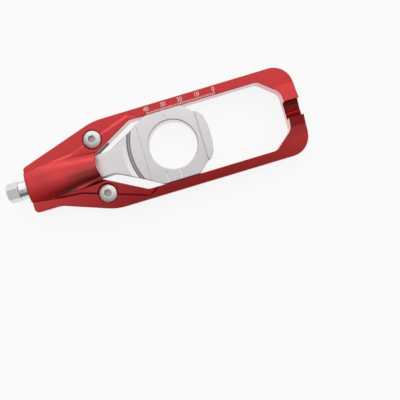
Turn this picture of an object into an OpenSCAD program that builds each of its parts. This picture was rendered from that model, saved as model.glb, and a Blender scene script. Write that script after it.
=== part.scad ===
// Chain adjuster for a motorcycle rear axle
// The part lies on its back: X along the swingarm, Z out of the wheel side, origin at the axle bore

/* [Frame] */
// Thickness of the loop that the axle block slides in
frame_t = 10; // [9:0.1:12]
// Width of the loop across both rails
loop_w = 52.1; // [50:0.1:58]
// Width of the slot between the rails
slot_w = 40.7; // [36:0.1:43]
// Outer end of the loop, from the axle at rest
loop_end = 75.8; // [74:0.1:84]
// Width of the bar that closes the loop
end_bar_w = 8.7; // [7:0.1:12]
// Outer corner radius of the loop
loop_corner_r = 11.5; // [8:0.1:14]
// Chamfer along the frame's outer edges
edge_chamfer = 0.5; // [0.2:0.1:1]

/* [Nose] */
// End face of the nose, from the axle at rest
nose_end = 86.3; // [85:0.1:92]
// Half width of the nose's end on the upper side
nose_upper = 11.6; // [11:0.1:14]
// Half width of the nose's end on the lower side
nose_lower = 15.1; // [13:0.1:17]
// Height of the hood's crest at its mouth
crest_z = 18; // [17.5:0.1:19.5]
// Radius of the conical hood at its mouth
hood_r = 8.6; // [8.4:0.1:9.5]
// Angle at which the hood's axis rises towards the mouth
hood_rise = 16; // [14:0.5:17]
// Half angle of the hood's cone
hood_taper = 9.85; // [9:0.05:11]
// Height of the raised shoulders over the flange
shoulder_h = 1.2; // [0.8:0.1:2]
// Width of the bevel along the upper shoulder
bevel_upper = 2; // [1:0.1:2.1]
// Width of the bevel along the lower shoulder
bevel_lower = 0.8; // [0.5:0.1:2.1]
// Radius of the arch at the hood's mouth
hood_arch_r = 13; // [12.5:0.5:20]

/* [End rib] */
// Height of the rib on the end bar, over the rails
rib_h = 3; // [1.5:0.1:4]
// Half width of the rib's foot
rib_foot = 14.8; // [13:0.1:16]
// Width of the notch in the rib
notch_w = 9.7; // [8:0.1:12]
// Height of the notch's floor
notch_floor = 5.6; // [4:0.1:7]
// Height of the step across the notch's floor
ledge_h = 1.1; // [0.5:0.1:2]

/* [Axle block] */
// Thickness of the axle block
block_t = 12.5; // [12:0.1:13.5]
// Diameter of the axle bore
axle_bore_d = 28; // [20:0.5:29]
// Clearance of the block to each rail
rail_gap = 0.25; // [0.1:0.05:0.5]
// Right end of the block, from the bore's centre
block_end = 22.2; // [21:0.1:25]
// Width of the channel for the axle head's flats
channel_w = 34.2; // [32:0.1:36]
// Depth of that channel
channel_depth = 0.8; // [0.4:0.1:1.5]
// Width of the neck
neck_w = 13.3; // [12:0.1:14]
// Left end of the neck, from the bore's centre
neck_end = 63; // [62:0.5:63]
// Width of the neck's tail, which runs under the hood
tail_w = 10; // [9:0.1:10]
// Radius of the relief groove's inner wall
relief_r = 33.3; // [30:0.1:36]
// Width of the relief groove
relief_w = 2.1; // [1:0.1:3]
// Depth of the relief groove
relief_depth = 1.2; // [0.6:0.1:1.2]
// Width of the index lines
index_w = 0.7; // [0.3:0.1:1]

/* [Adjusting screw] */
// Nominal thread diameter
screw_d = 6; // [5:0.5:6]
// Width across the flats of the hex head
head_flats = 10; // [8:0.1:12]
// Height of the hex head
head_h = 6.9; // [4:0.1:9]
// End of the screw, from the axle at rest
screw_tip = 26; // [26:0.1:30]
// Outer diameter of the bush's collar
collar_d = 10.7; // [9.5:0.1:12]
// Length of the bush's collar
collar_l = 5; // [3:0.1:7]
// Diameter of the bush in the nose
bush_d = 9; // [8:0.1:9.5]
// Width of the slot in the collar
collar_slot_w = 1; // [0.6:0.1:1.5]
// Length of the slot in the collar
collar_slot_l = 3.8; // [2:0.1:4.5]
// Thickness of the nose's end wall
end_wall = 9.8; // [8:0.1:11]
// Thickness of the thrust washer
washer_t = 1; // [0.8:0.1:1.2]
// Outer diameter of the thrust washer
washer_d = 9.6; // [8.5:0.1:9.8]
// Thickness of the circlip
circlip_t = 0.7; // [0.5:0.1:0.9]

/* [Mounting screws] */
// Distance of the mounting screws behind the axle
mount_x = 43.3; // [43:0.1:45]
// Distance of each mounting screw from the centre line
mount_y = 15.9; // [15.5:0.1:17]
// Nominal diameter of the mounting screws
mount_d = 6; // [5:0.5:6]
// Diameter of the button heads
button_d = 10.5; // [9.5:0.1:10.6]
// Height of the button heads
button_h = 3.3; // [2.5:0.1:3.5]
// Width across the flats of their sockets
socket_flats = 4; // [3:0.5:5]
// Diameter of the counterbores
counterbore_d = 11.2; // [10.8:0.1:11.5]
// Height of the counterbores' floor
counterbore_z = 9; // [8:0.1:9.5]
// Thickness of the back plate
back_plate_t = 2.4; // [2:0.1:2.5]

/* [Hidden] */
$fn = 64;
eps = 0.01;
far = 200;

running_gap = 0.05;
seat_gap = 0.1;
sliding_gap = 0.2;
fillet_steps = 10;
facet_l = 1.6;

anodised_red = [0.78, 0.16, 0.19];
anodised_silver = [0.84, 0.83, 0.83];
polished_steel = [0.80, 0.79, 0.80];
spring_steel = [0.35, 0.34, 0.34];

neck_floor = back_plate_t + sliding_gap;
screw_z = (neck_floor + block_t) / 2;
hood_gap = 0.4;
travel_in = 9;
cavity_top = block_t + hood_gap;
tail_start = 50;
undercut_start = 36;
tapped_end = 16.5;
index_x = [-8.2, -0.2];
index_depth = 0.3;
short_index = 3.2;
head_turn = -16.6;
slot_turn = 10;
cavity_end = nose_end - end_wall;
shoulder_z = frame_t + shoulder_h;

// Corner p1 of the path p0, p1, p2 as an arc of radius r
function unit(v) = v / norm(v);
function arc_corner(p0, p1, p2, r) =
    let (a = unit(p0 - p1), b = unit(p2 - p1),
         half = acos(max(-1, min(1, a * b))) / 2,
         back = r / tan(half),
         centre = p1 + unit(a + b) * r / sin(half),
         s = p1 + a * back - centre, e = p1 + b * back - centre,
         turn = atan2(s[0] * e[1] - s[1] * e[0], s * e),
         steps = max(2, ceil(abs(turn) / 90 * fillet_steps), ceil(abs(turn) * PI / 180 * r / facet_l)))
    [for (i = [0:steps])
        let (w = turn * i / steps)
        centre + [s[0] * cos(w) - s[1] * sin(w), s[0] * sin(w) + s[1] * cos(w)]];

// Outline whose corners are given as [x, y, radius]
function rounded(c) =
    let (n = len(c))
    [for (i = [0:n - 1])
        let (p0 = c[(i + n - 1) % n], p1 = c[i], p2 = c[(i + 1) % n])
        each (p1[2] > 0
            ? arc_corner([p0[0], p0[1]], [p1[0], p1[1]], [p2[0], p2[1]], p1[2])
            : [[p1[0], p1[1]]])];

// The same outline moved inwards by d, for points that run anticlockwise
function inset(pts, d) =
    let (n = len(pts))
    [for (i = [0:n - 1])
        let (a = unit(pts[i] - pts[(i + n - 1) % n]), b = unit(pts[(i + 1) % n] - pts[i]),
             na = [-a[1], a[0]], nb = [-b[1], b[0]])
        pts[i] + (na + nb) * d / (1 + na * nb)];

// Corners on the upper side, followed by the same ones on the lower side
function mirrored(c) = concat(c, [for (i = [len(c) - 1:-1:0]) [c[i][0], -c[i][1], c[i][2]]]);

// Ring of triangular section that cuts a chamfer, w wide and d deep, along an outline's edge at height z
module chamfer_ring(pts, z, w, d, up) {
    n = len(pts);
    spare = 0.15;
    corners = [[-spare * w, -(1 + spare) * d], [(1 + spare) * w, spare * d], [-spare * w, spare * d]];
    points = [for (k = corners, p = inset(pts, k[0])) [p[0], p[1], z + up * k[1]]];
    sides = [for (k = [0:2], i = [0:n - 1])
        let (j = (i + 1) % n, l = (k + 1) % 3)
        each [[k * n + i, l * n + i, l * n + j], [k * n + i, l * n + j, k * n + j]]];
    polyhedron(points, up < 0 ? sides : [for (f = sides) [f[2], f[1], f[0]]]);
}

// Plate with the given outline and a chamfer of its own at its foot and at its top
module bevelled_plate(pts, z0, z1, foot, top) {
    difference() {
        translate([0, 0, z0]) linear_extrude(z1 - z0) polygon(pts);
        chamfer_ring(pts, z1, top, top, 1);
        chamfer_ring(pts, z0, foot, foot, -1);
    }
}

// Cylinder along X between two stations
module x_cylinder(r, x0, x1) {
    translate([x0, 0, screw_z]) rotate([0, 90, 0]) cylinder(r = r, h = x1 - x0);
}

outer_outline = rounded([
    [-nose_end, nose_upper, 2.5], [-nose_end, -nose_lower, 2.5], [-71, -nose_lower, 12],
    [-41, -loop_w / 2, 30], [loop_end, -loop_w / 2, loop_corner_r],
    [loop_end, loop_w / 2, loop_corner_r], [-40.5, loop_w / 2, 35]]);

// Half width of the slot where it meets the hood
slot_mouth = 7.5;
slot_left = 43.7;
slot_corners = [[-slot_left, slot_mouth, 0], [-20.3, slot_w / 2, 5], [55.9, slot_w / 2, 5],
                [loop_end - end_bar_w, 11, 6]];
slot_outline = rounded([for (c = [7:-1:0]) mirrored(slot_corners)[c]]);

shoulder_corners = [[-nose_end - 4, 7.9, 0], [-69, 11.1, 14], [-57.5, 12.1, 10],
                    [-20.5, 24.4, 2.5], [-14.4, 21, 0], [-14.4, 15, 0]];
shoulder_outline = rounded([for (c = [11:-1:0]) mirrored(shoulder_corners)[c]]);

plate_corners = [[-cavity_end - 2, 9, 1], [-56, 12.5, 4], [-49, 20.8, 3], [-40.2, 21.2, 3],
                 [-38.6, 13.6, 2], [-47, 9, 2]];
plate_outline = rounded([for (c = [11:-1:0]) mirrored(plate_corners)[c]]);

// Arched cut that ends the hood, down to the slot within the slot's mouth
hood_mouth = 44.5;
module hood_arch() {
    translate([hood_arch_r - hood_mouth, 0, 0]) {
        intersection() {
            translate([0, 0, -1]) cylinder(r = hood_arch_r, h = far, $fn = 96);
            translate([-far, -slot_mouth, -1]) cube([far, 2 * slot_mouth, far]);
        }
        translate([0, 0, shoulder_z]) cylinder(r = hood_arch_r, h = far, $fn = 96);
    }
}

// Cone whose crest climbs from the nose's end to the mouth, and whose foot widens the other way
module hood() {
    before = 50;
    past = 5;
    foot_z = 8;
    intersection() {
        translate([-hood_mouth + hood_r * sin(hood_rise), 0, crest_z - hood_r * cos(hood_rise)])
            rotate([0, 90 - hood_rise, 0]) translate([0, 0, -before])
                cylinder(r1 = hood_r + before * tan(hood_taper), r2 = hood_r - past * tan(hood_taper),
                         h = before + past, $fn = 128);
        translate([0, 0, foot_z]) linear_extrude(far) polygon(shoulder_outline);
        translate([-nose_end, -far, 0]) cube([far, 2 * far, far]);
    }
}

// Shoulders, with a bevel of its own on each side
module shoulders() {
    bury = 8;
    sink = 0.15;
    for (side = [1, -1]) intersection() {
        difference() {
            translate([0, 0, shoulder_z - bury]) linear_extrude(bury) polygon(shoulder_outline);
            chamfer_ring(shoulder_outline, shoulder_z, side > 0 ? bevel_upper : bevel_lower,
                         shoulder_h + sink, 1);
        }
        translate([-nose_end, side > 0 ? 0 : -far, 0]) cube([far, far, far]);
    }
}

// Rib across the end bar, steeper towards the notch
module end_rib() {
    rib_mid = 10;
    mid_h = frame_t + 0.25 * rib_h;
    crest_h = frame_t + rib_h;
    inward = 3;
    translate([loop_end - end_bar_w - inward, 0, 0]) rotate([90, 0, 90])
        linear_extrude(end_bar_w + inward)
            polygon([[-rib_foot, 1], [-rib_foot, frame_t], [-rib_mid, mid_h], [-notch_w / 2, crest_h],
                     [notch_w / 2, crest_h], [rib_mid, mid_h], [rib_foot, frame_t], [rib_foot, 1]]);
}

// Notch whose floor falls towards the lower rail in two slopes
module end_notch() {
    spare = 5;
    fall = 2.2;
    step_y = -1;
    translate([loop_end - end_bar_w - spare, 0, 0]) rotate([90, 0, 90])
        linear_extrude(end_bar_w + 2 * spare)
            polygon([[notch_w / 2, far], [notch_w / 2, notch_floor + fall], [step_y, notch_floor],
                     [step_y - 0.4, notch_floor + ledge_h], [-notch_w / 2, notch_floor + 0.1],
                     [-notch_w / 2, far]]);
}

// Room under the hood for the neck, its tail and the thrust washer, and for the flared neck at the mouth
module neck_cavity() {
    wide_end = tail_start + travel_in + hood_gap;
    tail_end = neck_end + travel_in + hood_gap;
    mouth_relief = 4.3;
    depth = cavity_top - back_plate_t;
    translate([-wide_end, -neck_w / 2 - sliding_gap, back_plate_t - eps])
        cube([wide_end - hood_mouth + 3, neck_w + 2 * sliding_gap, depth]);
    translate([-tail_end, -tail_w / 2 - sliding_gap, back_plate_t - eps])
        cube([tail_end - hood_mouth, tail_w + 2 * sliding_gap, depth]);
    translate([-slot_left - mouth_relief, -slot_mouth, -1])
        cube([mouth_relief + 1, 2 * slot_mouth, cavity_top + 1]);
    x_cylinder(washer_d / 2 + sliding_gap, -cavity_end, -tail_end + 1);
}

module frame() color(anodised_red) difference() {
    union() {
        bevelled_plate(outer_outline, 0, frame_t, edge_chamfer, edge_chamfer);
        shoulders();
        hood();
        end_rib();
    }
    translate([-far, -far, -far]) cube([2 * far, 2 * far, far]);
    translate([0, 0, -1]) linear_extrude(far) polygon(slot_outline);
    hood_arch();
    neck_cavity();
    translate([0, 0, -1]) linear_extrude(back_plate_t + 1) polygon(inset(plate_outline, -seat_gap));
    x_cylinder(bush_d / 2 + running_gap, -nose_end - 1, -cavity_end + 1);
    for (side = [1, -1]) translate([-mount_x, side * mount_y, 0]) {
        cylinder(r = mount_d / 2 + sliding_gap, h = far);
        translate([0, 0, counterbore_z]) cylinder(d = counterbore_d, h = far);
    }
    end_notch();
}

module back_plate() color(anodised_red) difference() {
    linear_extrude(back_plate_t) polygon(plate_outline);
    for (side = [1, -1])
        translate([-mount_x, side * mount_y, -1]) cylinder(r = mount_d / 2 + running_gap, h = far);
}

block_half = slot_w / 2 - rail_gap;
block_corners = [[-neck_end, tail_w / 2, 0.8], [-tail_start, tail_w / 2, 0.8], [-tail_start, neck_w / 2, 0.8],
                 [-35.7, neck_w / 2, 6], [-21, 14.3, 8], [-11.1, block_half, 5],
                 [10.4, block_half, 2], [16.2, 14.5, 1], [18.2, 14, 1.5], [block_end - 1.3, 10.6, 3],
                 [block_end, 3.5, 12]];
block_outline = rounded([for (c = [21:-1:0]) mirrored(block_corners)[c]]);

// Curved groove between the block and its neck, with a slope on the neck's side
module relief_groove() {
    slope_w = 2.9;
    slope_depth = 0.5;
    translate([relief_r - 23.9, 0, 0]) rotate_extrude($fn = 180)
        polygon([[relief_r, block_t - relief_depth], [relief_r + relief_w, block_t - relief_depth],
                 [relief_r + relief_w, block_t - slope_depth], [relief_r + relief_w + slope_w, block_t + eps],
                 [relief_r, block_t + eps]]);
}

module slider() color(anodised_silver) difference() {
    bevelled_plate(block_outline, 0, block_t, 0.3, 0.4);
    translate([0, 0, -1]) cylinder(d = axle_bore_d, h = far, $fn = 128);
    translate([0, 0, block_t - channel_depth - 0.5])
        cylinder(r1 = axle_bore_d / 2, r2 = axle_bore_d / 2 + 1, h = 1, $fn = 128);
    translate([-channel_w / 2 - 0.2, -far, block_t - channel_depth]) cube([channel_w, 2 * far, far]);
    relief_groove();
    translate([-neck_end - 1, -far, -1]) cube([neck_end + 1 - undercut_start, 2 * far, neck_floor + 1]);
    x_cylinder(screw_d / 2 + running_gap, -neck_end - 1, -tapped_end);
    for (x = index_x)
        translate([x - index_w / 2, -far, block_t - channel_depth - index_depth])
            cube([index_w, far - axle_bore_d / 2, far]);
    translate([index_x[1] - index_w / 2, axle_bore_d / 2, block_t - channel_depth - index_depth])
        cube([index_w, short_index, far]);
}

head_end = nose_end + collar_l + seat_gap;
module adjusting_screw() color(polished_steel) difference() {
    union() {
        intersection() {
            translate([-head_end - head_h, 0, screw_z]) rotate([head_turn, 0, 0]) rotate([0, 90, 0])
                cylinder(r = head_flats / 2 / cos(30), h = head_h, $fn = 6);
            translate([-head_end - head_h, 0, screw_z]) rotate([0, 90, 0])
                cylinder(r1 = head_flats / 2 - 0.1, r2 = head_flats / 2 - 0.1 + 2 * head_h, h = head_h);
            translate([-head_end - head_h, 0, screw_z]) rotate([0, 90, 0])
                cylinder(r1 = head_flats / 2 + 2 * head_h, r2 = head_flats / 2 + 0.2, h = head_h);
        }
        x_cylinder(screw_d / 2, -head_end - 1, -screw_tip - 1);
        translate([-screw_tip - 1, 0, screw_z]) rotate([0, 90, 0])
            cylinder(r1 = screw_d / 2, r2 = screw_d / 2 - 0.8, h = 1);
    }
    difference() {
        x_cylinder(screw_d, -cavity_end + seat_gap + washer_t, -cavity_end + washer_t + seat_gap + circlip_t + 0.1);
        x_cylinder(screw_d / 2 - 0.3, -head_end, -screw_tip);
    }
}

module screw_bush() color(polished_steel) difference() {
    union() {
        x_cylinder(bush_d / 2, -nose_end - 1, -cavity_end);
        x_cylinder(collar_d / 2, -nose_end - collar_l + 0.3, -nose_end);
        translate([-nose_end - collar_l, 0, screw_z]) rotate([0, 90, 0])
            cylinder(r1 = collar_d / 2 - 0.3, r2 = collar_d / 2, h = 0.3);
    }
    x_cylinder(screw_d / 2 + running_gap, -nose_end - collar_l - 1, -cavity_end + 1);
    translate([-nose_end - collar_slot_l + collar_slot_w / 2, 0, screw_z]) rotate([slot_turn, 0, 0]) {
        cylinder(d = collar_slot_w, h = far, $fn = 24);
        translate([0, -collar_slot_w / 2, 0]) cube([collar_slot_l - collar_slot_w / 2, collar_slot_w, far]);
    }
}

module thrust_washer() color(polished_steel) difference() {
    x_cylinder(washer_d / 2, -cavity_end + seat_gap, -cavity_end + seat_gap + washer_t);
    x_cylinder(screw_d / 2 + running_gap, -cavity_end, -cavity_end + 3);
}

module circlip() color(spring_steel) {
    start = -cavity_end + seat_gap + washer_t;
    difference() {
        x_cylinder(screw_d / 2 + 1.3, start + 0.05, start + 0.05 + circlip_t);
        x_cylinder(screw_d / 2 - 0.3 + running_gap, start - 1, start + 3);
        translate([start - 1, -1.6, screw_z - far]) cube([3, 3.2, far]);
    }
}

// Button head with a domed top, its socket and a plain shank
module mounting_screw() color(polished_steel) difference() {
    union() {
        rotate_extrude()
            polygon(concat([[0, 0], [button_d / 2 - 0.2, 0], [button_d / 2, 0.2], [button_d / 2, 0.5]],
                [for (w = [10:10:60])
                    [button_d / 2 - (button_d / 2 - 2.6) * (1 - cos(w)) / (1 - cos(60)),
                     0.5 + (button_h - 0.5) * sin(w) / sin(60)]],
                [[0, button_h]]));
        translate([0, 0, 0.4 - counterbore_z]) cylinder(d = mount_d, h = counterbore_z);
    }
    translate([0, 0, button_h - 2]) cylinder(r = socket_flats / 2 / cos(30), h = 3, $fn = 6);
}

module mounting_screw_upper() translate([-mount_x, mount_y, counterbore_z]) mounting_screw();
module mounting_screw_lower() translate([-mount_x, -mount_y, counterbore_z]) mounting_screw();

frame();
back_plate();
slider();
adjusting_screw();
screw_bush();
thrust_washer();
circlip();
mounting_screw_upper();
mounting_screw_lower();
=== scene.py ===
import math

import bmesh
import bpy
from mathutils import Matrix, Vector


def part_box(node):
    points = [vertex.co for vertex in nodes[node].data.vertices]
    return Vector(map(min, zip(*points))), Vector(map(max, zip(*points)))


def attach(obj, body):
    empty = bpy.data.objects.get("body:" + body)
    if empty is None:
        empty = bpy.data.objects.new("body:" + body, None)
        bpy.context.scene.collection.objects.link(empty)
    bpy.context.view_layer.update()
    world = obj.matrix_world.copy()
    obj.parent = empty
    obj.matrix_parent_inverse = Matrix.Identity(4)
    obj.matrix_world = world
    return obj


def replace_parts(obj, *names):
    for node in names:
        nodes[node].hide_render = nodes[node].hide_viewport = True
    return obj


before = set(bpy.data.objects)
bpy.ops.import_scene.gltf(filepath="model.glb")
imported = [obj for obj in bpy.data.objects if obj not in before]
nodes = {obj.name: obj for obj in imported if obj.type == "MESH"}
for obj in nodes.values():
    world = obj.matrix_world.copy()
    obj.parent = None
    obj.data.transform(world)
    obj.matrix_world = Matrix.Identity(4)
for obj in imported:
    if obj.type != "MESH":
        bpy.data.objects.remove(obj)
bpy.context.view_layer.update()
mm = 0.001
railTop = 10                # mm, height of the frame's flat face over its back
print("stage 1: frame loaded")


# sRGB hex to the linear colour that the shader sockets take
def hexLinear(code):
    parts = [int(code[i:i + 2], 16) / 255 for i in (0, 2, 4)]
    return tuple(p / 12.92 if p <= 0.04045 else ((p + 0.055) / 1.055) ** 2.4 for p in parts) + (1.0,)


# One node, with its settings, its socket values and the sockets that feed it. Sockets go by name, or by
# number where several share a name: a Mix of colours takes them at 6 and 7 and gives one at 2.
def addNode(tree, kind, values=None, links=None, **settings):
    node = tree.nodes.new(kind)
    for name, value in settings.items():
        setattr(node, name, value)
    for name, value in (values or {}).items():
        node.inputs[name].default_value = value
    for name, source in (links or {}).items():
        tree.links.new(source, node.inputs[name])
    return node


def newMaterial(name):
    mat = bpy.data.materials.new(name)
    mat.use_nodes = True
    mat.node_tree.nodes.clear()
    return mat, mat.node_tree


def linkObject(name, data):
    obj = bpy.data.objects.new(name, data)
    bpy.context.scene.collection.objects.link(obj)
    return obj


# Plain mesh of what a text or a modifier makes; the object that made it goes
def plainMesh(holder):
    bpy.context.view_layer.update()
    plain = bpy.data.meshes.new_from_object(holder.evaluated_get(bpy.context.evaluated_depsgraph_get()))
    holder.modifiers.clear()
    bpy.data.objects.remove(holder)
    return plain


# The camera looks straight down on the face, from beyond the lower rail, as in the photo
cameraSet = {
    "over": (3.0, -38.0),       # mm, point of the face plane under the lens
    "aim": (5.6, -34.7),        # mm, point of the face plane in the picture's centre
    "height": 350.0,            # mm above the face plane
    "frameWidth": 228.0,        # mm of the face plane that the picture covers
    "upTilt": 16.75,            # degrees that the long axis is turned in the picture
    "sensor": 36,               # mm
    "clip": (0.01, 20),         # metres from the lens, nearest and farthest that it sees
}


def makeCamera(s):
    cam = bpy.data.cameras.new("camera")
    obj = linkObject("camera", cam)
    turn = math.radians(s["upTilt"])
    right = Vector((math.cos(turn), -math.sin(turn), 0))
    up = Vector((math.sin(turn), math.cos(turn), 0))
    overX, overY = s["over"]
    aimX, aimY = s["aim"]
    eye = Vector((overX, overY, railTop + s["height"])) * mm
    facing = Matrix((right, up, Vector((0, 0, 1)))).transposed().to_4x4()
    obj.matrix_world = Matrix.Translation(eye) @ facing
    cam.sensor_width = s["sensor"]
    cam.lens = s["sensor"] * s["height"] / s["frameWidth"]
    offAxis = Vector((aimX - overX, aimY - overY, 0)) / s["frameWidth"]
    cam.shift_x = offAxis.dot(right)
    cam.shift_y = offAxis.dot(up)
    cam.clip_start, cam.clip_end = s["clip"]
    bpy.context.scene.camera = obj


makeCamera(cameraSet)
print("stage 2: camera placed")


# Object coordinates in millimetres
def objectMm(tree):
    coords = addNode(tree, "ShaderNodeTexCoord")
    return addNode(tree, "ShaderNodeVectorMath", {1: (1000, 1000, 1000)}, {0: coords.outputs["Object"]},
                   operation="MULTIPLY").outputs[0]


# Cosines between the rounded and the true surface where an edge's painted shade starts, and where it is full
edgeCosines = (0.998, 0.9)


# How much a place is on a broken edge, up to the given share
def brokenShare(tree, rounded, most):
    surface = addNode(tree, "ShaderNodeNewGeometry")
    cosine = addNode(tree, "ShaderNodeVectorMath",
                     links={0: rounded.outputs[0], 1: surface.outputs["Normal"]}, operation="DOT_PRODUCT")
    start, full = edgeCosines
    return addNode(tree, "ShaderNodeMapRange", {1: start, 2: full, 3: 0, 4: most},
                   {0: cosine.outputs["Value"]})


# 1 where the place lies in the box, 0 elsewhere
def insideBox(tree, axes, box):
    inside = None
    for axis in "XYZ":
        start, end = box[axis]
        within = addNode(tree, "ShaderNodeMath", {1: (start + end) / 2, 2: (end - start) / 2},
                         {0: axes.outputs[axis]}, operation="COMPARE")
        if inside:
            within = addNode(tree, "ShaderNodeMath", links={0: inside.outputs[0], 1: within.outputs[0]},
                             operation="MULTIPLY")
        inside = within
    return inside.outputs[0]


# Anodised aluminium, bead blasted and dyed: a satin metal under a thin clear oxide layer
redSet = {
    "colour": "C80A14",         # of the dyed pores; the clear skin over them adds the paler sheen
    "shade": "BE0810",
    "cloudSize": 14,            # mm, of the drift from one to the other
    "roughness": (0.18, 0.28),  # where the colour is full, and where it is the shade
    "oxideIor": 1.56,
    "oxideRoughness": 0.2,
    "grainPitch": 0.35,         # mm, coarser than the real blasting so that it shows
    "grainHeight": 0.1,         # of the height of a mill pass
    "reliefStrength": 0.8,
    "reliefDepth": 0.12,        # mm
    "millPitch": 1.35,          # mm between the ball mill's passes on the hood, coarser than real ones
    "millTurn": -28,            # degrees
    "millWander": 0.8,          # how much the passes stray from straight lines
    "wanderScale": 0.2,         # how often they do, against their number
    "millDark": 0.3,            # how much painted shade darkens the valleys between the passes
    "millAlong": (-68, -54),    # mm along X where the passes start, and where they are deepest
    "millMiddle": -0.2,         # mm, Y of the line on which they are deepest
    "millAside": (6.5, 1.5),    # mm from that line where they end, and where they are deepest
    "millAbove": (12, 13),      # mm, heights between which they come in
    "dull": "760508",           # colour of the painted shade in the boxes, the mill's valleys and on edges
    "dullOxide": 0.35,          # share of the clear skin's sheen kept where the shade is painted
    "dullShine": "701C1C",      # painted darker reflection there at a flat angle
    # boxes in which shade is painted
    "notch": {"X": (64, 90), "Y": (-4.75, 4.75), "Z": (5.57, 9.7)},     # mm, from and to
    "ledge": {"X": (64, 90), "Y": (-2.1, -1.0), "Z": (6.2, 9.7)},       # its edge is kept out of the painted shade
    "notchFloor": {"X": (64, 90), "Y": (-1.0, 2.6), "Z": (5.57, 9.7)},
    "floorShine": 0.3,          # share of the painted shade taken off the notch's floor
    "passage": {"X": (-47, -35.5), "Y": (-13, 13), "Z": (0.5, 9.7)},
    "hoodFoot": {"X": (-70, -44), "Y": (-12, -5.2), "Z": (11.24, 20)},
    "footFade": (-57, -47, 0, 0.6),     # mm along X, from and to, and the painted shade's share at each
    "hoodTip": {"X": (-90, -64), "Y": (-12, 4.7), "Z": (11.24, 20)},
    "tipFade": (-78, -66, 0.16, 0),
    "brokenEdge": 0.6,          # mm
    "edgeSamples": 10,
    "edgeDark": 0.95,           # how much painted shade darkens a broken edge or crease against its faces
    "valleyRadius": 1.1,        # mm, of the cutter in the valleys beside the hood
    "valleyAlong": (-40, -46),  # mm along X where the broken edges end, and where that radius is full
    "hoodAbove": (10.6, 11.1),  # mm, heights between which the hood comes out of the flat face
    "hoodFlat": 0.7,            # share of the hood's side slope that the shading drops at the hex head
    "flatAlong": (-88, -56),    # mm along X from the hex head to where the slope shows in full
}


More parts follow.
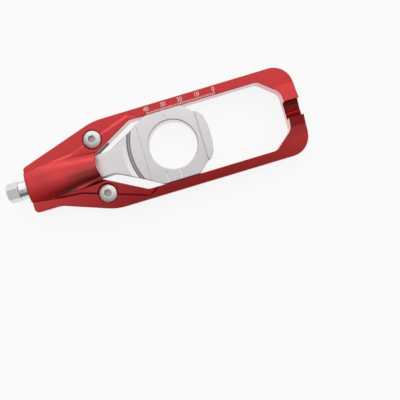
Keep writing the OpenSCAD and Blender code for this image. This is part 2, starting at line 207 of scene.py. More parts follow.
def anodisedRed(s):
    mat, tree = newMaterial("anodised_aluminium_red")
    place = objectMm(tree)
    grain = addNode(tree, "ShaderNodeTexNoise", {"Scale": 1 / s["grainPitch"], "Detail": 2}, {"Vector": place})
    cloud = addNode(tree, "ShaderNodeTexNoise", {"Scale": 1 / s["cloudSize"], "Detail": 3}, {"Vector": place})
    colour = addNode(tree, "ShaderNodeMix", {6: hexLinear(s["colour"]), 7: hexLinear(s["shade"])},
                     {0: cloud.outputs[0]}, data_type="RGBA")
    axes = addNode(tree, "ShaderNodeSeparateXYZ", links={0: place})
    # Painted shade: the notch, the neck's passage, the hood's foot and its end at the hex head are darkened
    ledge = insideBox(tree, axes, s["ledge"])
    notch = addNode(tree, "ShaderNodeMath", links={0: insideBox(tree, axes, s["notch"]), 1: ledge},
                    operation="SUBTRACT")
    notch = addNode(tree, "ShaderNodeMath", {1: -s["floorShine"]},
                    {0: insideBox(tree, axes, s["notchFloor"]), 2: notch.outputs[0]}, operation="MULTIPLY_ADD")
    dull = addNode(tree, "ShaderNodeMath",
                   links={0: notch.outputs[0], 1: insideBox(tree, axes, s["passage"])}, operation="MAXIMUM")
    for box, fadeSet in ((s["hoodFoot"], s["footFade"]), (s["hoodTip"], s["tipFade"])):
        start, end, first, last = fadeSet
        fade = addNode(tree, "ShaderNodeMapRange", {1: start, 2: end, 3: first, 4: last},
                       {0: axes.outputs[0]}, interpolation_type="SMOOTHSTEP")
        part = addNode(tree, "ShaderNodeMath", links={0: insideBox(tree, axes, box), 1: fade.outputs[0]},
                       operation="MULTIPLY")
        dull = addNode(tree, "ShaderNodeMath", links={0: dull.outputs[0], 1: part.outputs[0]},
                       operation="MAXIMUM")
    colour = addNode(tree, "ShaderNodeMix", {7: hexLinear(s["dull"])},
                     {0: dull.outputs[0], 6: colour.outputs[2]}, data_type="RGBA")
    shine = addNode(tree, "ShaderNodeMix", {6: (1, 1, 1, 1), 7: hexLinear(s["dullShine"])},
                    {0: dull.outputs[0]}, data_type="RGBA")
    # Passes of the ball mill over the hood, deepest along its crest near the mouth. At scale 1 the wave
    # repeats every 2 pi / 20 mm.
    turned = addNode(tree, "ShaderNodeMapping", {"Rotation": (0, 0, math.radians(s["millTurn"]))},
                     {"Vector": place})
    wave = addNode(tree, "ShaderNodeTexWave",
                   {"Scale": 2 * math.pi / 20 / s["millPitch"], "Distortion": s["millWander"],
                    "Detail": 1, "Detail Scale": s["wanderScale"]},
                   {"Vector": turned.outputs[0]}, wave_type="BANDS", bands_direction="X", wave_profile="SIN")
    start, full = s["millAlong"]
    nearMouth = addNode(tree, "ShaderNodeMapRange", {1: start, 2: full, 3: 0, 4: 1}, {0: axes.outputs[0]},
                        interpolation_type="SMOOTHSTEP")
    aside = addNode(tree, "ShaderNodeMath", {1: s["millMiddle"]}, {0: axes.outputs[1]}, operation="SUBTRACT")
    aside = addNode(tree, "ShaderNodeMath", links={0: aside.outputs[0]}, operation="ABSOLUTE")
    end, full = s["millAside"]
    onCrest = addNode(tree, "ShaderNodeMapRange", {1: end, 2: full, 3: 0, 4: 1}, {0: aside.outputs[0]},
                      interpolation_type="SMOOTHSTEP")
    start, full = s["millAbove"]
    onTop = addNode(tree, "ShaderNodeMapRange", {1: start, 2: full, 3: 0, 4: 1}, {0: axes.outputs[2]})
    mask = nearMouth
    for share in (onCrest, onTop):
        mask = addNode(tree, "ShaderNodeMath", links={0: mask.outputs[0], 1: share.outputs[0]},
                       operation="MULTIPLY")
    mill = addNode(tree, "ShaderNodeMath", links={0: wave.outputs["Fac"], 1: mask.outputs[0]},
                   operation="MULTIPLY")
    # Painted shade in the valleys between the passes
    millShade = addNode(tree, "ShaderNodeMath", {1: s["millDark"]}, {0: mill.outputs[0]}, operation="MULTIPLY")
    colour = addNode(tree, "ShaderNodeMix", {7: hexLinear(s["dull"])},
                     {0: millShade.outputs[0], 6: colour.outputs[2]}, data_type="RGBA")
    height = addNode(tree, "ShaderNodeMath", {1: s["grainHeight"]}, {0: grain.outputs[0], 2: mill.outputs[0]},
                     operation="MULTIPLY_ADD")
    # The cutter's radius softens the valleys beside the hood, the other edges are only broken
    start, full = s["valleyAlong"]
    valley = addNode(tree, "ShaderNodeMapRange", {1: start, 2: full, 3: 0, 4: 1}, {0: axes.outputs[0]})
    start, full = s["hoodAbove"]
    raised = addNode(tree, "ShaderNodeMapRange", {1: start, 2: full, 3: 0, 4: 1}, {0: axes.outputs[2]})
    soft = addNode(tree, "ShaderNodeMath", links={0: valley.outputs[0], 1: raised.outputs[0]},
                   operation="MULTIPLY")
    reach = addNode(tree, "ShaderNodeMapRange", {3: s["brokenEdge"] * mm, 4: s["valleyRadius"] * mm},
                    {0: soft.outputs[0]})
    edge = addNode(tree, "ShaderNodeBevel", links={"Radius": reach.outputs[0]}, samples=s["edgeSamples"])
    # Painted shade along the broken edges and in the valleys beside the hood, apart from the ledge's
    onEdge = brokenShare(tree, edge, s["edgeDark"])
    offLedge = addNode(tree, "ShaderNodeMath", {0: 1}, {1: ledge}, operation="SUBTRACT")
    onEdge = addNode(tree, "ShaderNodeMath", links={0: onEdge.outputs[0], 1: offLedge.outputs[0]},
                     operation="MULTIPLY")
    colour = addNode(tree, "ShaderNodeMix", {7: hexLinear(s["dull"])},
                     {0: onEdge.outputs[0], 6: colour.outputs[2]}, data_type="RGBA")
    # Painted shade also takes off the clear skin's sheen: partly in the shaded boxes, fully on the edges
    thin = addNode(tree, "ShaderNodeMath", {1: 1 - s["dullOxide"]}, {0: dull.outputs[0]}, operation="MULTIPLY")
    skinShade = addNode(tree, "ShaderNodeMath", links={0: onEdge.outputs[0], 1: thin.outputs[0]},
                   operation="MAXIMUM")
    oxide = addNode(tree, "ShaderNodeMath", {0: 1}, {1: skinShade.outputs[0]}, operation="SUBTRACT")
    # Towards the hex head the hood is shaded flatter than it is
    start, end = s["flatAlong"]
    flatter = addNode(tree, "ShaderNodeMapRange", {1: start, 2: end, 3: 1 - s["hoodFlat"], 4: 1},
                      {0: axes.outputs[0]})
    kept = addNode(tree, "ShaderNodeMix", {2: 1}, {0: raised.outputs[0], 3: flatter.outputs[0]})
    squeeze = addNode(tree, "ShaderNodeCombineXYZ", {0: 1, 2: 1}, {1: kept.outputs[0]})
    squeezed = addNode(tree, "ShaderNodeVectorMath", links={0: edge.outputs[0], 1: squeeze.outputs[0]},
                       operation="MULTIPLY")
    even = addNode(tree, "ShaderNodeVectorMath", links={0: squeezed.outputs[0]}, operation="NORMALIZE")
    bump = addNode(tree, "ShaderNodeBump", {"Strength": s["reliefStrength"], "Distance": s["reliefDepth"] * mm},
                   {"Height": height.outputs[0], "Normal": even.outputs[0]})
    smooth, coarse = s["roughness"]
    rough = addNode(tree, "ShaderNodeMapRange", {3: smooth, 4: coarse}, {0: cloud.outputs[0]})
    shader = addNode(tree, "ShaderNodeBsdfPrincipled",
                     {"Metallic": 1.0, "Coat IOR": s["oxideIor"], "Coat Roughness": s["oxideRoughness"]},
                     {"Base Color": colour.outputs[2], "Roughness": rough.outputs[0],
                      "Normal": bump.outputs[0], "Coat Weight": oxide.outputs[0],
                      "Specular Tint": shine.outputs[2]})
    addNode(tree, "ShaderNodeOutputMaterial", links={0: shader.outputs[0]})
    return mat


# Clear anodised aluminium: pale satin metal with the fine lines of the face mill
silverSet = {
    "colour": "F2EDEE",
    "shade": "E8E3E4",
    "cloudSize": 9,             # mm, of the drift from one to the other
    "roughness": (0.31, 0.43),  # across the mill's lines
    "linePitch": 0.5,           # mm, coarser than the real lines so that they show
    "lineChange": (0.03, 0.3),  # how fast the lines change along Y and along Z, per mm
    "reliefStrength": 0.25,
    "reliefDepth": 0.03,        # mm
    # painted shade in the relief groove, in its middle and along its edges
    "grooveMiddle": "A09A98",
    "grooveEdge": "4E4A48",
    "grooveCentre": 9.4,        # mm along X, centre of the relief groove's arc
    "grooveRadii": (33.3, 35.4),
    "grooveMargin": 0.05,       # mm that the painted shade reaches past each radius
    "grooveEnd": -16,           # mm along X, where the arc ends
    "grooveLow": 11.0,          # mm, a height under the groove's floor
    "shadeFrom": 0.2,            # mm from the groove's middle where the painted shade starts to deepen
    "brokenEdge": 0.35,         # mm
    "edgeSamples": 8,
    # painted shade along the broken edges: its colour, and its share
    "edgeColour": "7A7472",
    "edgeDark": 0.8,
    "indexPlaces": ({"X": (-9.2, -7.2), "Y": (-21, -14.6), "Z": (11.3, 11.8)},
                    {"X": (-1.2, 0.8), "Y": (-21, -14.6), "Z": (11.3, 11.8)},
                    {"X": (-1.2, 0.8), "Y": (14.6, 21), "Z": (11.3, 11.8)}),
    "indexEdge": 0.2,           # share of the edges' painted shade that the index lines keep
    "indexFloor": 11.4,         # mm, height of the index lines' floors
    "indexReach": 0.1,          # mm above and below it that count as floor
    "indexSlope": 0.1,          # lean of those floors towards +Y
}


def anodisedSilver(s):
    mat, tree = newMaterial("anodised_aluminium_silver")
    place = objectMm(tree)
    stretched = addNode(tree, "ShaderNodeMapping", {"Scale": (1 / s["linePitch"], *s["lineChange"])},
                        {"Vector": place})
    lines = addNode(tree, "ShaderNodeTexNoise", {"Scale": 1, "Detail": 2}, {"Vector": stretched.outputs[0]})
    cloud = addNode(tree, "ShaderNodeTexNoise", {"Scale": 1 / s["cloudSize"], "Detail": 3}, {"Vector": place})
    colour = addNode(tree, "ShaderNodeMix", {6: hexLinear(s["colour"]), 7: hexLinear(s["shade"])},
                     {0: cloud.outputs[0]}, data_type="RGBA")
    # Painted shade in the relief groove, darkest along its edges
    axes = addNode(tree, "ShaderNodeSeparateXYZ", links={0: place})
    flat = addNode(tree, "ShaderNodeCombineXYZ", {2: 0}, {0: axes.outputs[0], 1: axes.outputs[1]})
    radius = addNode(tree, "ShaderNodeVectorMath", {1: (s["grooveCentre"], 0, 0)}, {0: flat.outputs[0]},
                     operation="DISTANCE")
    inner, outer = s["grooveRadii"]
    middle, half = (inner + outer) / 2, (outer - inner) / 2
    ring = addNode(tree, "ShaderNodeMath", {1: middle, 2: half + s["grooveMargin"]},
                   {0: radius.outputs[1]}, operation="COMPARE")
    noseward = addNode(tree, "ShaderNodeMath", {1: s["grooveEnd"]}, {0: axes.outputs[0]},
                       operation="LESS_THAN")
    high = addNode(tree, "ShaderNodeMath", {1: s["grooveLow"]}, {0: axes.outputs[2]},
                   operation="GREATER_THAN")
    inGroove = ring
    for limit in (noseward, high):
        inGroove = addNode(tree, "ShaderNodeMath", links={0: inGroove.outputs[0], 1: limit.outputs[0]},
                           operation="MULTIPLY")
    fromMiddle = addNode(tree, "ShaderNodeMath", {1: middle}, {0: radius.outputs[1]}, operation="SUBTRACT")
    fromMiddle = addNode(tree, "ShaderNodeMath", links={0: fromMiddle.outputs[0]}, operation="ABSOLUTE")
    grooveShadeDepth = addNode(tree, "ShaderNodeMapRange", {1: s["shadeFrom"], 2: half}, {0: fromMiddle.outputs[0]})
    grooveShade = addNode(tree, "ShaderNodeMix", {6: hexLinear(s["grooveMiddle"]), 7: hexLinear(s["grooveEdge"])},
                   {0: grooveShadeDepth.outputs[0]}, data_type="RGBA")
    colour = addNode(tree, "ShaderNodeMix",
                     links={0: inGroove.outputs[0], 6: colour.outputs[2], 7: grooveShade.outputs[2]},
                     data_type="RGBA")
    # Painted shade along the broken edges, those of the index lines only a little
    edge = addNode(tree, "ShaderNodeBevel", {"Radius": s["brokenEdge"] * mm}, samples=s["edgeSamples"])
    onEdge = brokenShare(tree, edge, s["edgeDark"])
    for linePlace in s["indexPlaces"]:
        kept = addNode(tree, "ShaderNodeMath", {0: s["indexEdge"] - 1, 2: 1},
                       {1: insideBox(tree, axes, linePlace)}, operation="MULTIPLY_ADD")
        onEdge = addNode(tree, "ShaderNodeMath", links={0: onEdge.outputs[0], 1: kept.outputs[0]},
                         operation="MULTIPLY")
    colour = addNode(tree, "ShaderNodeMix", {7: hexLinear(s["edgeColour"])},
                     {0: onEdge.outputs[0], 6: colour.outputs[2]}, data_type="RGBA")
    # The floors of the index lines catch the light from beyond the upper rail
    onLine = addNode(tree, "ShaderNodeMath", {1: s["indexFloor"], 2: s["indexReach"]}, {0: axes.outputs[2]},
                     operation="COMPARE")
    slope = addNode(tree, "ShaderNodeMath", {1: s["indexSlope"]}, {0: onLine.outputs[0]},
                    operation="MULTIPLY")
    lean = addNode(tree, "ShaderNodeCombineXYZ", {0: 0, 2: 0}, {1: slope.outputs[0]})
    leaning = addNode(tree, "ShaderNodeVectorMath", links={0: edge.outputs[0], 1: lean.outputs[0]},
                      operation="ADD")
    even = addNode(tree, "ShaderNodeVectorMath", links={0: leaning.outputs[0]}, operation="NORMALIZE")
    bump = addNode(tree, "ShaderNodeBump", {"Strength": s["reliefStrength"], "Distance": s["reliefDepth"] * mm},
                   {"Height": lines.outputs[0], "Normal": even.outputs[0]})
    smooth, coarse = s["roughness"]
    rough = addNode(tree, "ShaderNodeMapRange", {3: smooth, 4: coarse}, {0: lines.outputs[0]})
    shader = addNode(tree, "ShaderNodeBsdfPrincipled", {"Metallic": 1.0},
                     {"Base Color": colour.outputs[2], "Roughness": rough.outputs[0],
                      "Normal": bump.outputs[0]})
    addNode(tree, "ShaderNodeOutputMaterial", links={0: shader.outputs[0]})
    return mat


# Steel, turned and polished, zinc plated, or hardened and phosphated: bright or dark grey, a little uneven
steelSet = {
    "cloudSize": 1.6,           # mm, of the drift between the two colours
    "finePitch": 0.25,          # mm, coarser than the real finish so that it shows
    "reliefStrength": 0.15,
    "reliefDepth": 0.02,        # mm
    "brokenEdge": 0.15,         # mm
    "edgeSamples": 6,
    "kinds": {
        "polished": {"name": "polished_steel", "colour": "ECE9EA", "shade": "DAD7D8",
                     "roughness": (0.14, 0.28)},
        "screw": {"name": "plated_screw_steel", "colour": "F2ECEA", "shade": "DCD2D0",
                  "roughness": (0.44, 0.58),
                  # painted shade in the sockets
                  "socketShade": "C0B8B4",
                  "socketAt": (-43.3, 15.9),    # mm, X and distance from the centre line
                  "socketRadius": 2.36,         # mm
                  "socketTop": 12.15,           # mm, height of its mouth
                  "domeFlat": 0.6},             # share of the head's slope that its shading shows
        "spring": {"name": "phosphated_spring_steel", "colour": "4A4949", "shade": "3A3939",
                   "roughness": (0.39, 0.53)},
    },
}


def steel(s, kind):
    look = s["kinds"][kind]
    mat, tree = newMaterial(look["name"])
    place = objectMm(tree)
    cloud = addNode(tree, "ShaderNodeTexNoise", {"Scale": 1 / s["cloudSize"], "Detail": 4}, {"Vector": place})
    fine = addNode(tree, "ShaderNodeTexNoise", {"Scale": 1 / s["finePitch"], "Detail": 1}, {"Vector": place})
    colour = addNode(tree, "ShaderNodeMix", {6: hexLinear(look["colour"]), 7: hexLinear(look["shade"])},
                     {0: cloud.outputs[0]}, data_type="RGBA")
    if "socketShade" in look:
        # Painted shade in the sockets of the two mounting screws
        axes = addNode(tree, "ShaderNodeSeparateXYZ", links={0: place})
        side = addNode(tree, "ShaderNodeMath", links={0: axes.outputs[1]}, operation="ABSOLUTE")
        flat = addNode(tree, "ShaderNodeCombineXYZ", {2: 0}, {0: axes.outputs[0], 1: side.outputs[0]})
        radius = addNode(tree, "ShaderNodeVectorMath", {1: (*look["socketAt"], 0)}, {0: flat.outputs[0]},
                         operation="DISTANCE")
        within = addNode(tree, "ShaderNodeMath", {1: look["socketRadius"]}, {0: radius.outputs[1]},
                         operation="LESS_THAN")
        below = addNode(tree, "ShaderNodeMath", {1: look["socketTop"]}, {0: axes.outputs[2]},
                        operation="LESS_THAN")
        inside = addNode(tree, "ShaderNodeMath", links={0: within.outputs[0], 1: below.outputs[0]},
                         operation="MULTIPLY")
        colour = addNode(tree, "ShaderNodeMix", {7: hexLinear(look["socketShade"])},
                         {0: inside.outputs[0], 6: colour.outputs[2]}, data_type="RGBA")
    edge = addNode(tree, "ShaderNodeBevel", {"Radius": s["brokenEdge"] * mm}, samples=s["edgeSamples"])
    slope = look.get("domeFlat", 1.0)
    squeezed = addNode(tree, "ShaderNodeVectorMath", {1: (slope, slope, 1)}, {0: edge.outputs[0]},
                       operation="MULTIPLY")
    even = addNode(tree, "ShaderNodeVectorMath", links={0: squeezed.outputs[0]}, operation="NORMALIZE")
    bump = addNode(tree, "ShaderNodeBump", {"Strength": s["reliefStrength"], "Distance": s["reliefDepth"] * mm},
                   {"Height": fine.outputs[0], "Normal": even.outputs[0]})
    smooth, coarse = look["roughness"]
    rough = addNode(tree, "ShaderNodeMapRange", {3: smooth, 4: coarse}, {0: cloud.outputs[0]})
    shader = addNode(tree, "ShaderNodeBsdfPrincipled", {"Metallic": 1.0},
                     {"Base Color": colour.outputs[2], "Roughness": rough.outputs[0],
                      "Normal": bump.outputs[0]})
    addNode(tree, "ShaderNodeOutputMaterial", links={0: shader.outputs[0]})
    return mat


# Laser marking on the dye: matt, pale pink
markSet = {
    "colour": "FFF2F0",
    "shade": "F6DCDA",
    "speckleSize": 0.3,         # mm
    "roughness": 0.7,
}


def laserMark(s):
    mat, tree = newMaterial("laser_marked_oxide")
    place = objectMm(tree)
    speckle = addNode(tree, "ShaderNodeTexNoise", {"Scale": 1 / s["speckleSize"], "Detail": 2},
                      {"Vector": place})
    colour = addNode(tree, "ShaderNodeMix", {6: hexLinear(s["colour"]), 7: hexLinear(s["shade"])},
                     {0: speckle.outputs[0]}, data_type="RGBA")
    shader = addNode(tree, "ShaderNodeBsdfPrincipled", {"Roughness": s["roughness"]},
                     {"Base Color": colour.outputs[2]})
    addNode(tree, "ShaderNodeOutputMaterial", links={0: shader.outputs[0]})
    return mat


redMetal = anodisedRed(redSet)
silverMetal = anodisedSilver(silverSet)
polishedSteel = steel(steelSet, "polished")
screwSteel = steel(steelSet, "screw")
springSteel = steel(steelSet, "spring")
markInk = laserMark(markSet)

finishes = {
    "frame": redMetal, "back_plate": redMetal, "slider": silverMetal,
    "adjusting_screw": polishedSteel, "screw_bush": polishedSteel, "thrust_washer": polishedSteel,
    "circlip": springSteel, "mounting_screw_upper": screwSteel, "mounting_screw_lower": screwSteel,
}
for nodeName, finish in finishes.items():
    nodes[nodeName].data.materials.clear()
    nodes[nodeName].data.materials.append(finish)
print("stage 3: materials on the machined parts")

# Millimetre scale along the upper rail: 0 to 40, read from right to left
scaleSet = {
    "zeroX": 30.9,              # mm, place of the 0 mark
    "lastMark": 40,
    "pitch": 1.0,               # mm between marks
    "longEvery": 10,            # marks, from one long mark and its figure to the next
    "inner": 20.75,             # mm from the centre line to the marks' inner ends
    "length": 1.1,              # mm
    "longLength": 1.5,
    "width": 0.36,
    "figureHeight": 2.45,       # mm
    "figureShare": 0.72,        # height of the font's figures against its size
    "figureNarrow": 0.96,       # share of the font's width
    "figureY": 23.7,            # mm from the centre line to the figures' middle
    "proud": 0.03,              # mm that a mark stands over the rail
}


def finishMesh(obj, body):
    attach(obj, body)
    return obj


# Marks of the scale: a row of bars along a line, with a longer bar at every tenth
def makeMarks(s, material):
    tree = bpy.data.node_groups.new("scaleMarks", "GeometryNodeTree")
    givenValues = []
    for name, kind, value in (("Count", "NodeSocketInt", s["lastMark"] + 1),
                              ("Pitch", "NodeSocketFloat", s["pitch"] * mm),
                              ("Mark Width", "NodeSocketFloat", s["width"] * mm),
                              ("Mark Length", "NodeSocketFloat", s["length"] * mm),
                              ("Long Share", "NodeSocketFloat", s["longLength"] / s["length"])):
        item = tree.interface.new_socket(name=name, in_out="INPUT", socket_type=kind)
        givenValues.append((item.identifier, value))
    tree.interface.new_socket(name="Geometry", in_out="OUTPUT", socket_type="NodeSocketGeometry")
    given = addNode(tree, "NodeGroupInput")
    step = addNode(tree, "ShaderNodeCombineXYZ", links={0: given.outputs["Pitch"]})
    row = addNode(tree, "GeometryNodeMeshLine",
                  links={"Count": given.outputs["Count"], "Offset": step.outputs[0]})
    # A bar sits half in the rail, its inner end on the row
    barSize = addNode(tree, "ShaderNodeCombineXYZ", {2: 2 * s["proud"] * mm},
                      {0: given.outputs["Mark Width"], 1: given.outputs["Mark Length"]})
    bar = addNode(tree, "GeometryNodeMeshCube", links={"Size": barSize.outputs[0]})
    half = addNode(tree, "ShaderNodeMath", {1: 0.5}, {0: given.outputs["Mark Length"]}, operation="MULTIPLY")
    lift = addNode(tree, "ShaderNodeCombineXYZ", links={1: half.outputs[0]})
    seated = addNode(tree, "GeometryNodeTransform",
                     links={"Geometry": bar.outputs[0], "Translation": lift.outputs[0]})
    index = addNode(tree, "GeometryNodeInputIndex")
    inTen = addNode(tree, "ShaderNodeMath", {1: s["longEvery"]}, {0: index.outputs[0]}, operation="MODULO")
    isLong = addNode(tree, "ShaderNodeMath", {1: 0.5}, {0: inTen.outputs[0]}, operation="LESS_THAN")
    stretch = addNode(tree, "ShaderNodeMapRange", {3: 1},
                      {0: isLong.outputs[0], 4: given.outputs["Long Share"]})
    scale = addNode(tree, "ShaderNodeCombineXYZ", {0: 1, 2: 1}, {1: stretch.outputs[0]})
    placed = addNode(tree, "GeometryNodeInstanceOnPoints",
                     links={"Points": row.outputs[0], "Instance": seated.outputs[0],
                            "Scale": scale.outputs[0]})
    real = addNode(tree, "GeometryNodeRealizeInstances", links={0: placed.outputs[0]})
    painted = addNode(tree, "GeometryNodeSetMaterial", {"Material": material}, {"Geometry": real.outputs[0]})
    addNode(tree, "NodeGroupOutput", links={0: painted.outputs[0]})

    holder = linkObject("marksHolder", bpy.data.meshes.new("marksHolder"))
    modifier = holder.modifiers.new("marks", "NODES")
    modifier.node_group = tree
    for identifier, value in givenValues:
        modifier[identifier] = value
    plain = plainMesh(holder)
    rowStart = Vector((s["zeroX"] - s["lastMark"] * s["pitch"], s["inner"], railTop)) * mm
    plain.transform(Matrix.Translation(rowStart))
    return finishMesh(linkObject("scale_marks", plain), "frame")


# The figures 0 to 40 over their marks, as thin plates
def makeFigures(s, material):
    for figure in range(0, s["lastMark"] + 1, s["longEvery"]):
        curve = bpy.data.curves.new("figure", "FONT")
        curve.body = str(figure)
        curve.size = s["figureHeight"] / s["figureShare"] * mm
        curve.align_x = "CENTER"
        curve.align_y = "CENTER"
        curve.extrude = s["proud"] * mm
        plain = plainMesh(linkObject("figureHolder", curve))
        middle = Vector((s["zeroX"] - figure * s["pitch"], s["figureY"], railTop)) * mm
        plain.transform(Matrix.Translation(middle) @ Matrix.Diagonal((s["figureNarrow"], 1, 1, 1)))
        plain.materials.clear()
        plain.materials.append(material)
        finishMesh(linkObject("scale_figure_%d" % figure, plain), "frame")


makeMarks(scaleSet, markInk)
makeFigures(scaleSet, markInk)
print("stage 4: scale marked")

# Thread of the adjusting screw, right handed, from the circlip to the tip
threadSet = {
    "start": -73.0, "end": -26.9,   # mm along X
    "runIn": 0.5,                   # mm from the start to the first turn's root
    "tip": 0.9,                     # mm that the screw goes on past the end
    "pitch": 1.0,                   # mm
    "crest": 2.99, "root": 2.42,    # mm, radii
    "crestAt": (0.44, 0.56),        # where the crest lies, as shares of the pitch
    "flats": 20,                    # faces round one turn
    "coreProud": 0.05,              # mm that the core stands over the root
    "coreFlats": 32,                # faces round the core
    "mergeWithin": 1e-6,            # metres
}


def makeThreadedScrew(s, material):
    source = nodes["adjusting_screw"]
    low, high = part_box("adjusting_screw")
    axisZ = (low.z + high.z) / 2
    screw = bmesh.new()
    screw.from_mesh(source.data)
    bmesh.ops.remove_doubles(screw, verts=screw.verts, dist=s["mergeWithin"])
    # The head and its plain shank stay, and the thread takes the place of the rest
    cut = bmesh.ops.bisect_plane(screw, geom=screw.verts[:] + screw.edges[:] + screw.faces[:],
                                 plane_co=(s["start"] * mm, 0, 0), plane_no=(1, 0, 0), clear_outer=True)
    rim = [e for e in cut["geom_cut"] if isinstance(e, bmesh.types.BMEdge)]
    bmesh.ops.holes_fill(screw, edges=rim)
    # One V per pitch: root, crest, root, swept along the helix
    turns = int((s["end"] - s["start"]) / s["pitch"])
    tipX = s["end"] + s["tip"]
    profile = [(0.0, s["root"])] + [(share, s["crest"]) for share in s["crestAt"]]
    last = len(profile) - 1
    rows = []
    for i in range(turns * s["flats"] + 1):
        angle = 2 * math.pi * i / s["flats"]
        rootX = s["start"] + s["runIn"] + s["pitch"] * i / s["flats"]
        row = []
        for share, radius in profile:
            x = min(rootX + share * s["pitch"], tipX)
            row.append(screw.verts.new((x * mm, radius * mm * math.sin(angle),
                                        axisZ + radius * mm * math.cos(angle))))
        rows.append(row)
    for i in range(len(rows) - 1):
        for k in range(last):
            screw.faces.new((rows[i][k], rows[i][k + 1], rows[i + 1][k + 1], rows[i + 1][k]))
        turnOn = i + s["flats"]
        if turnOn + 1 < len(rows):
            screw.faces.new((rows[i][last], rows[turnOn][0], rows[turnOn + 1][0], rows[i + 1][last]))
    # Core inside the thread, so that the screw is closed at both ends
    coreRadius = (s["root"] + s["coreProud"]) * mm
    coreMiddle = Matrix.Translation(((s["start"] + tipX) / 2 * mm, 0, axisZ))
    bmesh.ops.create_cone(screw, cap_ends=True, segments=s["coreFlats"], radius1=coreRadius,
                          radius2=coreRadius, depth=(tipX - s["start"]) * mm,
                          matrix=coreMiddle @ Matrix.Rotation(math.pi / 2, 4, "Y"))
    bmesh.ops.recalc_face_normals(screw, faces=screw.faces)
    mesh = bpy.data.meshes.new("threaded_screw")
    screw.to_mesh(mesh)
    screw.free()
    mesh.materials.append(material)
    obj = finishMesh(linkObject("threaded_screw", mesh), "screw")
    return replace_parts(obj, "adjusting_screw")


makeThreadedScrew(threadSet, polishedSteel)
print("stage 5: screw threaded")

# Plain pale floor and soft studio light, brightest from beyond the upper rail. Bands of the sky are given
# along its unit sphere, from and to.
studioSet = {
    "floorSize": 6.0,           # metres
    "floorDrop": 0.05,          # mm under the back faces
    "floorColour": "F4F4F4",
    "shadowShare": 0.12,        # how much of the floor's own shading shows beside its plain white
    "skyKeySide": 1.24,         # dome beyond the upper rail
    "skyFarSide": 0.15,         # dome on the near side
    "skyBand": (-0.8, 0.18),    # along Y, where the dome turns from dark to bright
    "skyLow": (0.45, 0.8, 1, 0.9),      # along Y, where it dims low down on the key side, and its share at each
    "skyEnd": (-0.75, -0.42, 0.2, 1),   # along X, where it dims past the nose, and its share at each
    "gap": {"stretch": 1.6, "towardY": -0.052, "reach": (0.09, 0.24), "level": 0.0},
    "backdrop": (0.03, 0.12),   # along Z, up to where it is white in reflections, and where that has gone
    "backdropWhite": 0.96,      # as white as the lit floor
    "key": {"place": (-0.15, 1.05, 0.38), "size": 0.6, "power": 0.6},     # metres, and watts
}


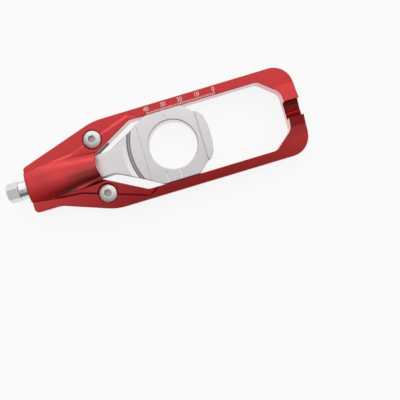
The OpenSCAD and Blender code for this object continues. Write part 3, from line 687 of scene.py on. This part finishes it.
def makeStage(s):
    mesh = bpy.data.meshes.new("floor")
    half = s["floorSize"] / 2
    low = -s["floorDrop"] * mm
    mesh.from_pydata([(-half, -half, low), (half, -half, low), (half, half, low), (-half, half, low)], [],
                     [(0, 1, 2, 3)])
    floor = linkObject("floor", mesh)
    mat, tree = newMaterial("white_studio_card")
    paths = addNode(tree, "ShaderNodeLightPath")
    card = addNode(tree, "ShaderNodeBsdfDiffuse", {"Color": hexLinear(s["floorColour"])})
    glow = addNode(tree, "ShaderNodeEmission", {"Color": (1, 1, 1, 1), "Strength": 1.0})
    seen = addNode(tree, "ShaderNodeMath",
                   links={0: paths.outputs["Is Camera Ray"], 1: paths.outputs["Is Glossy Ray"]},
                   operation="MAXIMUM")
    seen = addNode(tree, "ShaderNodeMath",
                   links={0: seen.outputs[0], 1: paths.outputs["Is Transmission Ray"]}, operation="MAXIMUM")
    part = addNode(tree, "ShaderNodeMath", {1: 1 - s["shadowShare"]}, {0: seen.outputs[0]},
                   operation="MULTIPLY")
    mixed = addNode(tree, "ShaderNodeMixShader",
                    links={0: part.outputs[0], 1: card.outputs[0], 2: glow.outputs[0]})
    addNode(tree, "ShaderNodeOutputMaterial", links={0: mixed.outputs[0]})
    mesh.materials.append(mat)

    world = bpy.data.worlds.new("studio")
    bpy.context.scene.world = world
    world.use_nodes = True
    tree = world.node_tree
    tree.nodes.clear()
    way = addNode(tree, "ShaderNodeTexCoord")
    axes = addNode(tree, "ShaderNodeSeparateXYZ", links={0: way.outputs["Generated"]})
    start, end = s["skyBand"]
    dome = addNode(tree, "ShaderNodeMapRange", {1: start, 2: end, 3: s["skyFarSide"], 4: s["skyKeySide"]},
                   {0: axes.outputs[1]})
    # Straight above, the camera and its arm leave a dark gap in the dome, longer along X
    gap = s["gap"]
    beside = addNode(tree, "ShaderNodeVectorMath",
                     {1: (1 / gap["stretch"], 1, 0), 2: (0, -gap["towardY"], 0)},
                     {0: way.outputs["Generated"]}, operation="MULTIPLY_ADD")
    away = addNode(tree, "ShaderNodeVectorMath", links={0: beside.outputs[0]}, operation="LENGTH")
    inner, outer = gap["reach"]
    opened = addNode(tree, "ShaderNodeMapRange", {1: inner, 2: outer, 3: gap["level"], 4: 1},
                     {0: away.outputs[1]})
    level = addNode(tree, "ShaderNodeMath", links={0: dome.outputs[0], 1: opened.outputs[0]},
                    operation="MULTIPLY")
    for axis, band in (("Y", s["skyLow"]), ("X", s["skyEnd"])):
        start, end, first, last = band
        dim = addNode(tree, "ShaderNodeMapRange", {1: start, 2: end, 3: first, 4: last},
                      {0: axes.outputs[axis]})
        level = addNode(tree, "ShaderNodeMath", links={0: level.outputs[0], 1: dim.outputs[0]},
                        operation="MULTIPLY")
    # White backdrop: all round for the camera, and low down for what the metal mirrors
    paths = addNode(tree, "ShaderNodeLightPath")
    start, end = s["backdrop"]
    lowDown = addNode(tree, "ShaderNodeMapRange", {1: start, 2: end, 3: 1, 4: 0}, {0: axes.outputs[2]})
    mirrored = addNode(tree, "ShaderNodeMath",
                       links={0: paths.outputs["Is Glossy Ray"], 1: paths.outputs["Is Transmission Ray"]},
                       operation="MAXIMUM")
    mirrored = addNode(tree, "ShaderNodeMath", links={0: mirrored.outputs[0], 1: lowDown.outputs[0]},
                       operation="MULTIPLY")
    white = addNode(tree, "ShaderNodeMath",
                    links={0: mirrored.outputs[0], 1: paths.outputs["Is Camera Ray"]}, operation="MAXIMUM")
    level = addNode(tree, "ShaderNodeMix", {3: s["backdropWhite"]},
                    {0: white.outputs[0], 2: level.outputs[0]})
    sky = addNode(tree, "ShaderNodeBackground", {"Color": (1, 1, 1, 1)}, {"Strength": level.outputs[0]})
    addNode(tree, "ShaderNodeOutputWorld", links={0: sky.outputs[0]})

    key = s["key"]
    lamp = bpy.data.lights.new("key", "AREA")
    lamp.shape = "SQUARE"
    lamp.size = key["size"]
    lamp.energy = key["power"]
    obj = linkObject("key", lamp)
    obj.location = key["place"]
    obj.rotation_euler = Vector(key["place"]).to_track_quat("Z", "Y").to_euler()


makeStage(studioSet)
bpy.context.scene.view_settings.view_transform = "Standard"
print("stage 6: studio lit")
